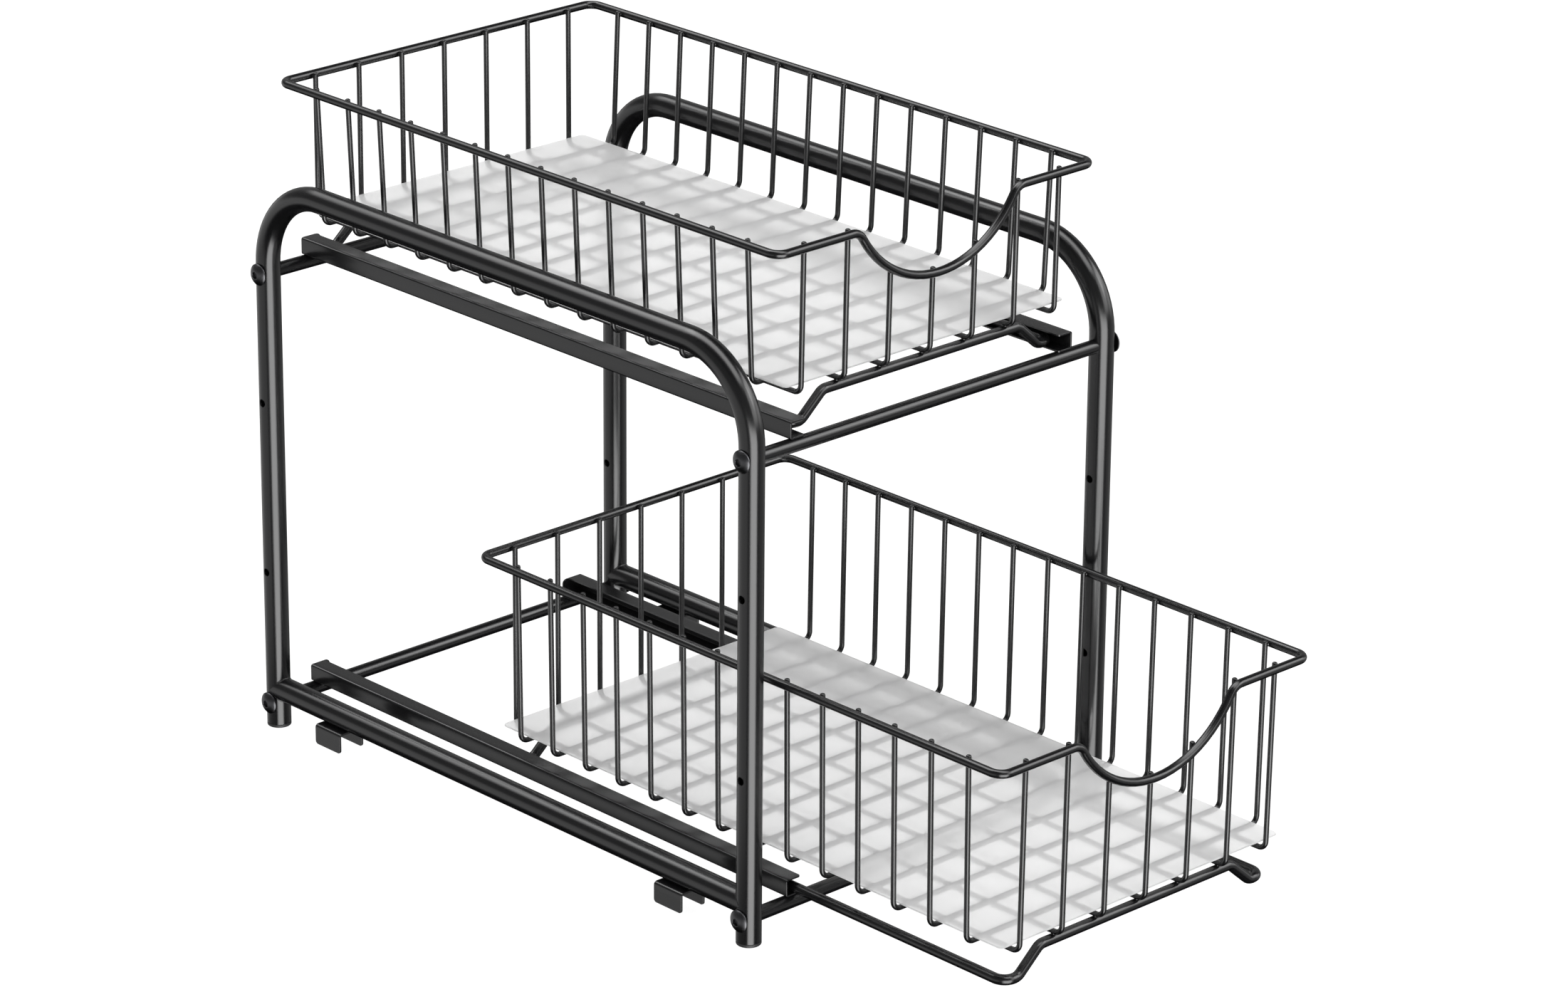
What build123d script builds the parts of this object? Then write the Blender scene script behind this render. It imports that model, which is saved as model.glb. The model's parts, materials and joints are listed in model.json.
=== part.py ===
from build123d import *
import os
from math import acos, atan2, cos, sin, sqrt, tan

# Under sink organizer: a steel frame with two tiers of C-shaped rails, and a wire basket on each
# tier that slides out to the front on a runner captured in the rails.
# Millimetres, +Z up, the front is towards -Y. The lower basket is modelled pulled out.
# The origin is on the floor, below the middle of the whole organizer in that pose.

# Side frames: one bent tube each side, and a straight base tube between its legs
tube_diameter = 14.0
tube_wall = 1.0
leg_spacing_x = 262.0
leg_spacing_y = 399.0
hoop_bend_radius = 48.0
leg_above_crossbar = 1.6

# Crossbars between the side frames, on two levels; the base tubes lie a little above the lower ones
crossbar_diameter = 8.0
lower_crossbar_height = 15.2
tier_spacing = 262.2
base_tube_rise = 8.3

# Pieces that are welded or seated on each other keep this gap
seat_gap = 0.05

# Button-head screws that hold the crossbars through the legs
screw_shank_diameter = 5.0
screw_grip_in_bar = 12.0
screw_hole_clearance = 0.25
thread_clearance = 0.05
screw_head_diameter = 12.7
screw_head_height = 3.3
screw_head_edge = 0.6
hex_socket_across = 4.0
hex_socket_depth = 2.0

# Spare holes through the legs, between the two levels
spare_hole_diameter = 4.5
spare_hole_height_shares = (0.31, 0.705)

# Plastic caps in the leg ends; their plugs end below the screws
cap_flange_height = 2.0
cap_edge_radius = 0.8
cap_below_screw = 1.7
cap_plug_clearance = 0.1

# Folded sheet brackets under the base tubes
bracket_beside_tube = 1.7
bracket_length = 22.0
bracket_height = 12.0
bracket_sheet = 1.2
bracket_inner_radius = 0.8
bracket_corner_radius = 2.0
bracket_from_leg = 55.0

# Rails: C-shaped channels, open towards the middle, on top of the crossbars. A plate folded across
# the back end of each one stops the runner, and leans back a little
rail_from_leg = 18.75
rail_width = 10.4
rail_wall = 1.0
rail_inner_radius = 0.3
rail_corner_radius = 1.5
rail_past_crossbar = 2.0
rail_stop_past_flange = 4.1
rail_stop_corner_radius = 3.0
rail_stop_lean = 5.0

# Runner: a closed wire loop whose sides slide in the rails and whose ends rise under the basket
runner_wire = 5.8
runner_lift_clearance = 0.3
runner_top_clearance = 2.1
runner_side_clearance = 2.55
runner_from_rim = 11.4
runner_rise = 13.6
runner_slope_run = 15.8
runner_foot_flat = 0.4
runner_corner_radius = 7.0
runner_bend_radius = 7.0

# Basket rim, with a scoop in its front
rim_wire = 4.8
rim_side_clearance = 5.1
rim_past_rail = 1.2
rim_corner_radius = 7.0
scoop_radius = 66.0
scoop_depth = 35.3
scoop_crest_radius = 9.0

# U-shaped wires of the basket, welded to the inner side of the rim
wire_diameter = 3.0
wire_bend_radius = 5.0
wire_above_rim = 2.0
cross_wire_count = 14
cross_wire_from_end = 27.2
long_wire_count = 7
long_wire_from_side = 22.0
front_wall_lean = 1.2

# Liner sheet that lies on the floor of each basket
liner_thickness = 1.0
liner_edge_clearance = 0.1

# What differs between the two baskets: height of the rim over the floor wires, how far the side
# walls lean in at the floor, and how far the basket is pulled out
upper_basket_height = 78.7
upper_wall_lean = 3.6
upper_pull_out = 0.0
lower_basket_height = 104.6
lower_wall_lean = 1.2
lower_pull_out = 167.6

# How far cutting tools run past the faces that they cut
cut_overrun = 1.0

# Places that follow from the sizes above, measured from the middle of the frame
tube_radius = tube_diameter / 2
leg_x = leg_spacing_x / 2
leg_y = leg_spacing_y / 2
upper_crossbar_height = lower_crossbar_height + tier_spacing
base_tube_height = lower_crossbar_height + base_tube_rise
hoop_height = upper_crossbar_height + crossbar_diameter / 2 + leg_above_crossbar + hoop_bend_radius
rail_outer_x = leg_x - tube_radius - rail_from_leg
rail_height = rail_wall + runner_lift_clearance + runner_wire + runner_top_clearance + rail_wall
rail_length = leg_spacing_y + 2 * rail_past_crossbar
rim_x = leg_x - tube_radius - rim_side_clearance - rim_wire / 2
rim_y = rail_length / 2 + rim_past_rail
wire_inset = rim_wire / 2 + seat_gap + wire_diameter / 2
cross_wire_pitch = 2 * (rim_y - cross_wire_from_end) / (cross_wire_count - 1)
long_wire_pitch = 2 * (rim_x - long_wire_from_side) / (long_wire_count - 1)
runner_x = rail_outer_x - rail_wall - runner_side_clearance - runner_wire / 2
runner_y = rim_y - runner_from_rim
runner_bend_share = tan(atan2(runner_rise, runner_slope_run) / 2)
front_reach = lower_pull_out + rim_y + rim_wire / 2
back_reach = leg_y + tube_radius
frame_shift = (front_reach - back_reach) / 2

# The scoop: its long arc meets a crest arc of the other hand at the angle scoop_turn
scoop_turn = acos((scoop_radius - scoop_depth + scoop_crest_radius) / (scoop_radius + scoop_crest_radius))
scoop_half_width = (scoop_radius + scoop_crest_radius) * sin(scoop_turn)
crest_end_x = scoop_radius * sin(scoop_turn)
crest_end_drop = scoop_crest_radius * (1 - cos(scoop_turn))

os.makedirs("parts", exist_ok=True)


def save(name, *shapes):
    """Write one node of one or more solids, moved from the middle of the frame to the origin."""
    solids = []
    for shape in shapes:
        solids += (Pos(0, frame_shift, 0) * shape).solids()
    export_step(Compound(solids) if len(solids) > 1 else solids[0], f"parts/{name}.step")


def rod(path, diameter):
    """Solid round wire along a path of tangent lines and arcs."""
    section = Plane(origin=path @ 0, z_dir=path % 0) * Circle(diameter / 2)
    return sweep(section, path=path)


def bent_wire(points, bend_radii, diameter):
    """Solid round wire through the points, bent with one of the radii at each of the inner ones."""
    return rod(FilletPolyline(*points, radius=bend_radii), diameter)


def bar_along_x(diameter, start_x, end_x, y, z):
    """Round bar or drill along X, from start_x to end_x."""
    turned = Plane(origin=(start_x, y, z), z_dir=(1, 0, 0))
    return extrude(turned * Circle(diameter / 2), amount=end_x - start_x)


def leg_envelope(x, y):
    """Outside of one leg with the seat gap, to cut the end of what butts against it."""
    height = hoop_height - hoop_bend_radius
    return Pos(x, y, height / 2) * Cylinder(tube_radius + seat_gap, height)


def hoop_tube(x):
    """One side of the frame: up the front leg, along the top and down the back leg."""
    corners = [(x, -leg_y, cap_flange_height), (x, -leg_y, hoop_height),
               (x, leg_y, hoop_height), (x, leg_y, cap_flange_height)]
    path = FilletPolyline(*corners, radius=[hoop_bend_radius] * 2)
    tube = rod(path, tube_diameter) - rod(path, tube_diameter - 2 * tube_wall)
    screw_hole = screw_shank_diameter + 2 * screw_hole_clearance
    holes = [(screw_hole, lower_crossbar_height), (screw_hole, upper_crossbar_height)]
    for share in spare_hole_height_shares:
        holes.append((spare_hole_diameter, lower_crossbar_height + share * tier_spacing))
    reach = tube_radius + cut_overrun
    for y in (-leg_y, leg_y):
        for diameter, height in holes:
            tube -= bar_along_x(diameter, x - reach, x + reach, y, height)
    return tube


def base_tube(x):
    """Straight tube from leg to leg, with its ends saddle-cut to fit them."""
    turned = Plane(origin=(x, -leg_y, base_tube_height), z_dir=(0, 1, 0))
    ring = Circle(tube_radius) - Circle(tube_radius - tube_wall)
    tube = extrude(turned * ring, amount=leg_spacing_y)
    for y in (-leg_y, leg_y):
        tube -= leg_envelope(x, y)
    return tube


def foot_cap(x, y):
    """Cap in a leg end: a flange as wide as the tube and a plug inside it."""
    flange = Pos(x, y, cap_flange_height / 2) * Cylinder(tube_radius, cap_flange_height)
    flange = fillet(flange.edges().group_by(Axis.Z)[0], cap_edge_radius)
    plug_radius = tube_radius - tube_wall - cap_plug_clearance
    plug_length = lower_crossbar_height - screw_shank_diameter / 2 - cap_below_screw - cap_flange_height
    plug = Pos(x, y, cap_flange_height + plug_length / 2) * Cylinder(plug_radius, plug_length)
    return flange + plug


def base_bracket(x, y):
    """Sheet folded over as an upside-down U below a base tube, with rounded lower corners."""
    top = base_tube_height - tube_radius - seat_gap
    plane = Plane(origin=(x, y - bracket_length / 2, top - bracket_height / 2), x_dir=(1, 0, 0),
                  z_dir=(0, 1, 0))
    width = tube_diameter + 2 * bracket_beside_tube
    outline = Rectangle(width, bracket_height)
    outline = fillet(outline.vertices().group_by(Axis.Y)[0], bracket_inner_radius + bracket_sheet)
    hollow = Rectangle(width - 2 * bracket_sheet, bracket_height)
    hollow = fillet(hollow.vertices().group_by(Axis.Y)[0], bracket_inner_radius)
    profile = outline - Pos(0, bracket_sheet) * hollow
    bracket = extrude(plane * profile, amount=bracket_length)
    lower_ends = bracket.edges().filter_by(Axis.X).group_by(Axis.Z)[0]
    return fillet(lower_ends, bracket_corner_radius)


def crossbar(y, height):
    """Bar between two legs, coped to their round sides, with a threaded bore in each end."""
    bar = bar_along_x(crossbar_diameter, -leg_x, leg_x, y, height)
    bore = screw_shank_diameter + 2 * thread_clearance
    bore_end = leg_x - tube_radius - screw_grip_in_bar - cut_overrun
    for side in (-1, 1):
        bar -= leg_envelope(side * leg_x, y)
        bar -= bar_along_x(bore, side * bore_end, side * leg_x, y, height)
    return bar


def crossbar_screw():
    """Button-head screw on the X axis: the head points to +X and its seat is at X = 0."""
    head_radius = screw_head_diameter / 2
    cap_rise = screw_head_height - screw_head_edge
    cap_radius = (head_radius ** 2 + cap_rise ** 2) / (2 * cap_rise)
    half_radius = head_radius / 2
    half_rise = sqrt(cap_radius ** 2 - half_radius ** 2) - (cap_radius - screw_head_height)
    shank_length = tube_diameter + screw_grip_in_bar
    shank_radius = screw_shank_diameter / 2
    side = Polyline((screw_head_height, 0), (-shank_length, 0), (-shank_length, shank_radius),
                    (0, shank_radius), (0, head_radius), (screw_head_edge, head_radius))
    dome = ThreePointArc((screw_head_edge, head_radius), (half_rise, half_radius), (screw_head_height, 0))
    screw = revolve(make_face(side.edges() + dome.edges()), axis=Axis.X)
    socket = RegularPolygon(hex_socket_across / 2, 6, major_radius=False)
    socket_plane = Plane.YZ.offset(screw_head_height - hex_socket_depth)
    return screw - extrude(socket_plane * socket, amount=hex_socket_depth + cut_overrun)


def all_screws():
    """The eight screws, one at each end of each crossbar, pointing outwards."""
    screws = []
    right_screw = crossbar_screw()
    left_screw = Rot(0, 0, 180) * right_screw
    seat_x = leg_x + tube_radius + seat_gap
    for height in (lower_crossbar_height, upper_crossbar_height):
        for y in (-leg_y, leg_y):
            screws.append(Pos(seat_x, y, height) * right_screw)
            screws.append(Pos(-seat_x, y, height) * left_screw)
    return screws


def rail(side, crossbar_height):
    """C-shaped channel with a stop plate behind; side is -1 for the left one and 1 for the right one."""
    bottom = crossbar_height + crossbar_diameter / 2 + seat_gap
    middle_x = rail_outer_x - rail_width / 2
    plane = Plane(origin=(middle_x, rail_length / 2, bottom + rail_height / 2), x_dir=(1, 0, 0),
                  z_dir=(0, -1, 0))
    outline = Rectangle(rail_width, rail_height)
    outline = fillet(outline.vertices().group_by(Axis.X)[-1], rail_inner_radius + rail_wall)
    hollow = Rectangle(rail_width, rail_height - 2 * rail_wall)
    hollow = fillet(hollow.vertices().group_by(Axis.X)[-1], rail_inner_radius)
    profile = outline - Pos(-rail_wall, 0) * hollow
    channel = extrude(plane * profile, amount=rail_length)
    front_tips = channel.edges().filter_by(Axis.Z).group_by(Axis.X)[0].group_by(Axis.Y)[0]
    channel = fillet(front_tips, rail_corner_radius)
    half_wall = rail_wall / 2
    plate = Rectangle(rail_width - half_wall + rail_stop_past_flange, rail_height - rail_wall)
    plate = Pos(-(rail_stop_past_flange + half_wall) / 2, 0) * plate
    plate = fillet(plate.vertices().group_by(Axis.X)[-1], rail_inner_radius + half_wall)
    plate = fillet(plate.vertices().group_by(Axis.X)[0], rail_stop_corner_radius)
    stop = extrude(plane * plate, amount=rail_wall)
    fold = Axis((rail_outer_x - half_wall, rail_length / 2, 0), (0, 0, -1))
    channel += stop.rotate(fold, rail_stop_lean)
    return channel if side > 0 else mirror(channel, about=Plane.YZ)


def both_halves(half):
    """One solid from the half on the right of the middle plane and its mirror image."""
    return half + mirror(half, about=Plane.YZ)


def runner(middle_y, side_height):
    """Closed loop: low straight sides for the rails, and ends that rise to carry the basket."""
    top = side_height + runner_rise
    foot_x = runner_x - runner_corner_radius - runner_foot_flat - runner_bend_radius * runner_bend_share
    slope_x = foot_x - runner_slope_run
    front = [(0, -runner_y, top), (slope_x, -runner_y, top), (foot_x, -runner_y, side_height),
             (runner_x, -runner_y, side_height)]
    back = [(x, -y, z) for x, y, z in reversed(front)]
    front_bends = [runner_bend_radius, runner_bend_radius, runner_corner_radius]
    half = bent_wire(front + back, front_bends + front_bends[::-1], runner_wire)
    return Pos(0, middle_y, 0) * both_halves(half)


def rim(middle_y, height):
    """Closed loop with rounded corners whose front dips in a wide scoop."""
    level = FilletPolyline((0, rim_y, 0), (rim_x, rim_y, 0), (rim_x, -rim_y, 0),
                           (scoop_half_width, -rim_y, 0), radius=[rim_corner_radius] * 2)
    half_turn = scoop_turn / 2
    crest_middle = (scoop_half_width - scoop_crest_radius * sin(half_turn), -rim_y,
                    -scoop_crest_radius * (1 - cos(half_turn)))
    crest_end = (crest_end_x, -rim_y, -crest_end_drop)
    arc_centre = scoop_radius - scoop_depth
    arc_middle = (scoop_radius * sin(half_turn), -rim_y, arc_centre - scoop_radius * cos(half_turn))
    crest = ThreePointArc((scoop_half_width, -rim_y, 0), crest_middle, crest_end)
    scoop = ThreePointArc(crest_end, arc_middle, (0, -rim_y, -scoop_depth))
    path = Wire(level.edges() + crest.edges() + scoop.edges())
    return Pos(0, middle_y, height) * both_halves(rod(path, rim_wire))


def rim_drop(x):
    """How far the front of the rim is below its sides at a place across the basket."""
    distance = abs(x)
    if distance >= scoop_half_width:
        return 0.0
    if distance > crest_end_x:
        run = scoop_half_width - distance
        return scoop_crest_radius - sqrt(scoop_crest_radius ** 2 - run ** 2)
    return sqrt(scoop_radius ** 2 - distance ** 2) - (scoop_radius - scoop_depth)


def cross_wire(floor_height, rim_height, wall_lean):
    """U-shaped wire from the left side of the rim, under the floor, to the right side."""
    top_x = rim_x - wire_inset
    floor_x = top_x - wall_lean
    top = rim_height + wire_above_rim
    points = [(-top_x, 0, top), (-floor_x, 0, floor_height), (floor_x, 0, floor_height), (top_x, 0, top)]
    return bent_wire(points, [wire_bend_radius] * 2, wire_diameter)


def long_wire(x, floor_height, rim_height):
    """U-shaped wire from the front of the rim, under the floor, to the back."""
    top_y = rim_y - wire_inset
    top = rim_height + wire_above_rim
    points = [(x, -top_y, top - rim_drop(x)), (x, -top_y + front_wall_lean, floor_height),
              (x, top_y, floor_height), (x, top_y, top)]
    return bent_wire(points, [wire_bend_radius] * 2, wire_diameter)


def liner(bottom, wall_lean):
    """Flat sheet between the bends of the wires, on the floor of the basket."""
    half_x = rim_x - wire_inset - wall_lean - wire_bend_radius
    back_y = rim_y - wire_inset - wire_diameter / 2 - liner_edge_clearance
    front_y = back_y - front_wall_lean
    sheet = Box(2 * half_x, front_y + back_y, liner_thickness, align=(Align.CENTER, Align.MIN, Align.MIN))
    return Pos(0, -front_y, bottom) * sheet


def save_drawer(tier, crossbar_height, basket_height, wall_lean, pull_out):
    """Write the pieces of one drawer: they stack up from the rail on the crossbars."""
    rail_floor = crossbar_height + crossbar_diameter / 2 + seat_gap + rail_wall
    side_height = rail_floor + runner_lift_clearance + runner_wire / 2
    long_height = side_height + runner_rise + runner_wire / 2 + seat_gap + wire_diameter / 2
    cross_height = long_height + wire_diameter + seat_gap
    rim_height = cross_height + basket_height
    place = Pos(0, -pull_out, 0)

    save(f"{tier}_runner", runner(-pull_out, side_height))
    save(f"{tier}_rim", rim(-pull_out, rim_height))
    save(f"{tier}_liner", place * liner(cross_height + wire_diameter / 2 + seat_gap, wall_lean))

    long_wires = []
    for index in range(long_wire_count):
        x = (index - (long_wire_count - 1) / 2) * long_wire_pitch
        long_wires.append(place * long_wire(x, long_height, rim_height))
    save(f"{tier}_long_wires", *long_wires)

    wire = cross_wire(cross_height, rim_height, wall_lean)
    for index in range(cross_wire_count):
        y = (index - (cross_wire_count - 1) / 2) * cross_wire_pitch
        save(f"{tier}_cross_wire_{index + 1:02d}", Pos(0, y - pull_out, 0) * wire)


for side_name, side_sign in (("left", -1), ("right", 1)):
    side_x = side_sign * leg_x
    save(f"{side_name}_hoop_tube", hoop_tube(side_x))
    save(f"{side_name}_base_tube", base_tube(side_x))
    for end_name, end_sign in (("front", -1), ("back", 1)):
        save(f"{end_name}_{side_name}_foot_cap", foot_cap(side_x, end_sign * leg_y))
        bracket_y = end_sign * (leg_y - bracket_from_leg)
        save(f"{end_name}_{side_name}_base_bracket", base_bracket(side_x, bracket_y))

for tier_name, bar_height in (("lower", lower_crossbar_height), ("upper", upper_crossbar_height)):
    save(f"{tier_name}_front_crossbar", crossbar(-leg_y, bar_height))
    save(f"{tier_name}_back_crossbar", crossbar(leg_y, bar_height))
    save(f"{tier_name}_left_rail", rail(-1, bar_height))
    save(f"{tier_name}_right_rail", rail(1, bar_height))

save("crossbar_screws", *all_screws())

save_drawer("upper", upper_crossbar_height, upper_basket_height, upper_wall_lean, upper_pull_out)
save_drawer("lower", lower_crossbar_height, lower_basket_height, lower_wall_lean, lower_pull_out)
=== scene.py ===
import json
import math
from types import SimpleNamespace

import bmesh
import bpy
import numpy as np
from bpy.props import FloatProperty, FloatVectorProperty, IntProperty, PointerProperty
from bpy.types import Operator, Panel, PropertyGroup
from mathutils import Matrix, Vector

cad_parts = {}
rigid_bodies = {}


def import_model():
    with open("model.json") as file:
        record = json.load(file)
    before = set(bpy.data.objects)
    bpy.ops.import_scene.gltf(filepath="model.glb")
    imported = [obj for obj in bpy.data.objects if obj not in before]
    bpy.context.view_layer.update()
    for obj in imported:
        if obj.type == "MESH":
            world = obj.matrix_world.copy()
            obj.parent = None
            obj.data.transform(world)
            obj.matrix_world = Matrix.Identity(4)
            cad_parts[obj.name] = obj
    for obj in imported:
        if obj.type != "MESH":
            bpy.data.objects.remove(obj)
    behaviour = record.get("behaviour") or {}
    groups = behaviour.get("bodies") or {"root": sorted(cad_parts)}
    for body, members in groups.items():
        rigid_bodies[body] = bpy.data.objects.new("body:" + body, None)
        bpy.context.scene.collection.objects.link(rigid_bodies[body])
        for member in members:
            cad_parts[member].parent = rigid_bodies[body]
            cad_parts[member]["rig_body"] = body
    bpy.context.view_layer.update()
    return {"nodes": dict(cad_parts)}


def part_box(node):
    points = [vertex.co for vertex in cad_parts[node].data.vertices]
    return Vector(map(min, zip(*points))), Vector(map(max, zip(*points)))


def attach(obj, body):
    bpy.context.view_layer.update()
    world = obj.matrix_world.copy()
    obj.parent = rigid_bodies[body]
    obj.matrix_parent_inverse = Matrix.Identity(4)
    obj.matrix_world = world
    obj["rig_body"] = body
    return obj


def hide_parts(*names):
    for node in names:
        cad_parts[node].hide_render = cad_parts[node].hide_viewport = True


bl_info = {
    "name": "Under sink organizer",
    "version": (1, 0, 0),
    "blender": (4, 5, 0),
    "location": "View3D > Sidebar > Organizer",
    "description": "Tube frame with two sliding wire baskets, finished around its packed model",
    "category": "Object",
}

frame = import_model()

MM = 0.001
X_AXIS, Y_AXIS, Z_AXIS = np.eye(3)
TIERS = ("upper", "lower")
SIDES = (("left", -1), ("right", 1))
ENDS = ("front", "back")
CROSS_WIRES = 14

# Fineness of the meshes
BEND_STEP, SHARP_ANGLE = math.radians(5), math.radians(32)
FLOOR_SIDES, TUBE_SIDES, WIRE_SIDES, THIN_WIRE_SIDES, BEAD_SIDES, NUGGET_SIDES = 96, 64, 32, 24, 12, 8
LINER_POINTS, STOP_POINTS, FLANGE_POINTS = 17, 9, 5
LINER_CORNER_STEPS, SHEET_CORNER_STEPS, ROUNDING_STEPS = 8, 6, 4
DOME_RINGS, BAR_END_RINGS, NUGGET_RINGS = 9, 6, 4
SHORTEST_STEP, SAME_POINT = 0.01 * MM, 0.0005 * MM
# Steps of a tube's grid from the middle of a hole to the ring that becomes its edge, and to the
# first ring that stays as it was
HOLE_RING, HOLE_REACH = 3, 6

# Shapes too small to be worth a setting
BEAD_RIPPLE = 1.3 * MM
NUGGET_FLATNESS = 0.6
SCREW_FILLET = 0.12 * MM
SCREW_GRIP = 12 * MM
SCREW_TIP = 0.6 * MM
SOCKET_CONE = 0.3 * MM

# Soft boxes that the gloss mirrors: strength, azimuth of the middle from the front, half width, lowest
# and highest elevation, all angles in degrees; and the angles over which their borders fade
SOFT_BOXES = ((8.5, -24, 27, -60, 8), (4.4, -172, 24, 32, 64), (0.84, -135, 60, -36, 10),
              (0.18, 135, 40, -10, 40), (6.0, 50, 20, 14, 50), (0.35, 65, 35, -40, 0),
              (0.2, -90, 90, -34, 44), (0.2, 90, 90, -34, 44), (4.0, 22, 20, 0, 50), (2.5, 65, 17, -8, 24))
FADE_SIDEWAYS, FADE_UPWARDS = 5, 12
# A long soft box overhead, from the front to the back: strength, and the ranges of the sideways and
# the upward part of a direction over which it fades
OVERHEAD, OVERHEAD_ACROSS, OVERHEAD_UP = 6.0, (0.15, 0.4), (0.7, 0.82)
# Inner rings of the floor's mesh, in metres
FLOOR_RINGS = (0.5, 1.0, 2.0, 5.0)


# Sizes and colours that a user may change

def linear(code):
    """Linear colour with alpha from an sRGB hex code."""
    parts = [int(code[i:i + 2], 16) / 255 for i in (0, 2, 4)]
    return (*(c / 12.92 if c <= 0.04045 else ((c + 0.055) / 1.055) ** 2.4 for c in parts), 1.0)


def length(name, millimetres, description):
    """A length, kept in metres."""
    return FloatProperty(name=name, description=description, default=millimetres * MM, min=0.0,
                         precision=5, unit="LENGTH")


def turn(name, degrees, description):
    """An angle."""
    return FloatProperty(name=name, description=description, default=math.radians(degrees), subtype="ANGLE")


def number(name, value, description, **limits):
    """A plain number."""
    return FloatProperty(name=name, description=description, default=value, **limits)


def colour(name, code, description):
    """A colour, given as an sRGB hex code."""
    return FloatVectorProperty(name=name, description=description, default=linear(code), size=4,
                               subtype="COLOR", min=0.0, max=1.0)


class OrganizerFrameSizes(PropertyGroup):
    tube: length("Tube diameter", 14.0, "Outside diameter of the hoops and base tubes")
    tube_wall: length("Tube wall", 1.0, "Wall thickness of the tubes")
    hoop_bend: length("Hoop bend radius", 48.0, "Radius of the hoop's corners, to the middle of the tube")
    crossbar: length("Crossbar diameter", 8.0, "Diameter of the bars between the side frames")
    seat_gap: length("Seat gap", 0.05, "Gap between pieces that are seated on each other")
    spare_hole: length("Spare hole diameter", 4.5, "Holes through the legs between the two levels")
    low_hole_share: number("Low spare hole", 0.31, min=0.1, max=0.9,
                           description="Height of the low holes as a share of the way between levels")
    high_hole_share: number("High spare hole", 0.705, min=0.1, max=0.9,
                            description="Height of the high holes as a share of the way between levels")
    edge: length("Edge rounding", 0.2, "Rounding of cut edges under the coating")
    head: length("Screw head diameter", 12.7, "Diameter of the button heads")
    head_height: length("Screw head height", 3.3, "Height of the button heads")
    head_edge: length("Screw head edge", 0.6, "Height of the straight edge below the dome")
    shank: length("Screw diameter", 5.0, "Diameter of the screw shank")
    socket: length("Socket size", 4.0, "Hex socket across its flats")
    socket_depth: length("Socket depth", 2.0, "Depth of the hex socket")
    cap_plug: length("Plug diameter", 11.8, "Diameter of the plug of a foot cap")
    cap_flange: length("Cap flange", 2.0, "Height of a foot cap below the tube")
    cap_edge: length("Cap edge radius", 0.8, "Rounding of the lower edge of a foot cap")
    rail_sheet: length("Rail sheet", 1.0, "Sheet thickness of the rails")
    rail_bend: length("Rail bend radius", 0.3, "Inner bend radius of the rails")
    rail_width: length("Rail width", 10.4, "Width of the flanges of the rails")
    rail_corner: length("Rail corner radius", 1.5, "Rounding of the front corners of the rail flanges")
    stop_past_flange: length("Stop past flange", 4.1, "How far the stop plates reach past the rail flanges")
    stop_corner: length("Stop corner radius", 3.0, "Rounding of the inner corners of the stop plates")
    stop_lean: turn("Stop lean", 5, "How far the stop plates lean back from square")
    sheet_edge: length("Sheet edge chamfer", 0.12, "Broken edge of the folded sheets")
    bracket_sheet: length("Bracket sheet", 1.2, "Sheet thickness of the base brackets")
    bracket_bend: length("Bracket bend radius", 0.8, "Inner bend radius of the base brackets")
    bracket_corner: length("Bracket corner radius", 2.0, "Rounding of the lower corners of the brackets")
    bead: length("Weld bead radius", 0.6, "Radius of the weld beads on the frame")


class OrganizerBasketSizes(PropertyGroup):
    runner: length("Runner wire", 5.8, "Diameter of the wire of the sliding runners")
    runner_corner: length("Runner corner radius", 7.0, "Radius of the runner's corners in plan")
    runner_bend: length("Runner bend radius", 7.0, "Radius of the bends that lift the runner's ends")
    runner_slope: length("Runner slope", 15.8, "Run of the sloping part of the runner's ends")
    runner_flat: length("Runner foot flat", 0.4, "Straight part between the runner's corner and bend")
    rim: length("Rim wire", 4.8, "Diameter of the wire of the rim")
    rim_corner: length("Rim corner radius", 7.0, "Radius of the rim's corners in plan")
    scoop_radius: length("Scoop radius", 66.0, "Radius of the scoop in the front of the rim")
    scoop_depth: length("Scoop depth", 35.3, "How far the rim dips in the middle of the scoop")
    scoop_crest: length("Scoop crest radius", 9.0, "Radius where the rim turns down into the scoop")
    wire: length("Wire diameter", 3.0, "Diameter of the wires of the basket")
    wire_bend: length("Wire bend radius", 5.0, "Radius of the bends at the basket floor")
    wire_above: length("Wire above rim", 2.0, "How far the wires end above the middle of the rim")
    wire_end: length("Wire end rounding", 0.9, "Rounding of the cut ends of the wires under the coating")
    front_lean: length("Front lean", 1.2, "How far the front wall leans in at the floor")
    long_wires: IntProperty(name="Long wires", default=7, min=2,
                            description="Number of wires that run from the front to the back")
    liner_corner: length("Liner corner radius", 3.0, "Rounding of the corners of the liner sheets")
    liner_edge: length("Liner edge chamfer", 0.15, "Broken edge of the liner sheets")
    nugget: length("Weld nugget radius", 1.3, "Radius of the resistance welds between the wires")


class OrganizerColours(PropertyGroup):
    coating: colour("Powder coating", "0B0B0C", "Satin black powder coating of the steel")
    coating_light: colour("Powder coating, light", "121213", "Lighter specks of the powder coating")
    screw: colour("Blackened screws", "505052", "Blackened steel of the screws")
    cap: colour("Foot caps", "161617", "Moulded black plastic of the foot caps")
    liner: colour("Liners", "F3F3F3", "Frosted clear plastic of the liner sheets")
    floor: colour("Floor", "6A6A69", "Matt floor, before the light that comes through it")
    surroundings: colour("Surroundings", "FFFFFF", "Soft light from all round")


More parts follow.
